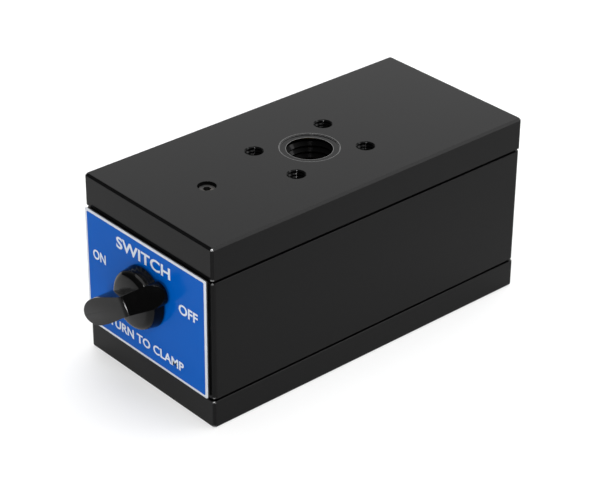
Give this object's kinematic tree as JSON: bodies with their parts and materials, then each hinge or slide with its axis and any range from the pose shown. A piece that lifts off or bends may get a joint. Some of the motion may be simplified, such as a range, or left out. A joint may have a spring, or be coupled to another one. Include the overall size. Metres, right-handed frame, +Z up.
{
  "type": "switchable magnetic base",
  "caption": "Switchable magnetic base block: black painted body with V grooves, tapped holes on top, a blue label plate and a lever knob that turns the magnet on and off.",
  "frame": {"origin": "middle of the flat face that the block stands on", "axes": "+Z up; the block is long in Y; the end with the label and the switch knob faces -Y; +X is to the right as one faces the label"},
  "size_m": [0.0574, 0.132, 0.0582],
  "materials": {
    "black_paint": "gloss black stove enamel on steel",
    "black_plastic": "gloss moulded black",
    "label_blue": "printed blue plate with a pale border and white lettering",
    "brass": "turned and milled",
    "steel": "turned",
    "black_oxide": "black oxide on turned screws",
    "ferrite": "ground ferrite magnet",
    "rubber": "moulded",
    "nylon": "moulded"
  },
  "bodies": {
    "base": {"top_plate": "black_paint", "foot_plate": "black_paint", "pole_left": "black_paint", "pole_right": "black_paint", "spacer_lower": "brass", "spacer_upper": "brass", "body_screw_1": "black_oxide", "body_screw_2": "black_oxide", "body_screw_3": "black_oxide", "body_screw_4": "black_oxide", "tie_screw_1": "black_oxide", "tie_screw_2": "black_oxide", "dowel_pin_1": "steel", "dowel_pin_2": "steel", "top_screw": "black_oxide", "front_bush": "brass", "bush_screw_1": "black_oxide", "bush_screw_2": "black_oxide", "bush_screw_3": "black_oxide", "bush_screw_4": "black_oxide", "rear_cap": "black_paint", "cap_screw_1": "black_oxide", "cap_screw_2": "black_oxide", "cap_screw_3": "black_oxide", "cap_screw_4": "black_oxide", "shaft_seal": "rubber", "thrust_washer": "nylon", "fixed_magnet": "ferrite", "magnet_pin": "steel", "label_plate": "label_blue"},
    "switch": {"shaft": "steel", "rotor_magnet": "ferrite", "stop_pin": "steel", "drive_pin_1": "steel", "drive_pin_2": "steel", "knob_body": "black_plastic", "knob_insert": "brass", "knob_set_screw": "steel"}
  },
  "joints": [
    {"name": "switch_turn", "type": "hinge", "parent": "base", "child": "switch", "pos_m": [0, -0.06, 0.031], "axis": [0, 1, 0], "range_deg": [0, 180]}
  ]
}
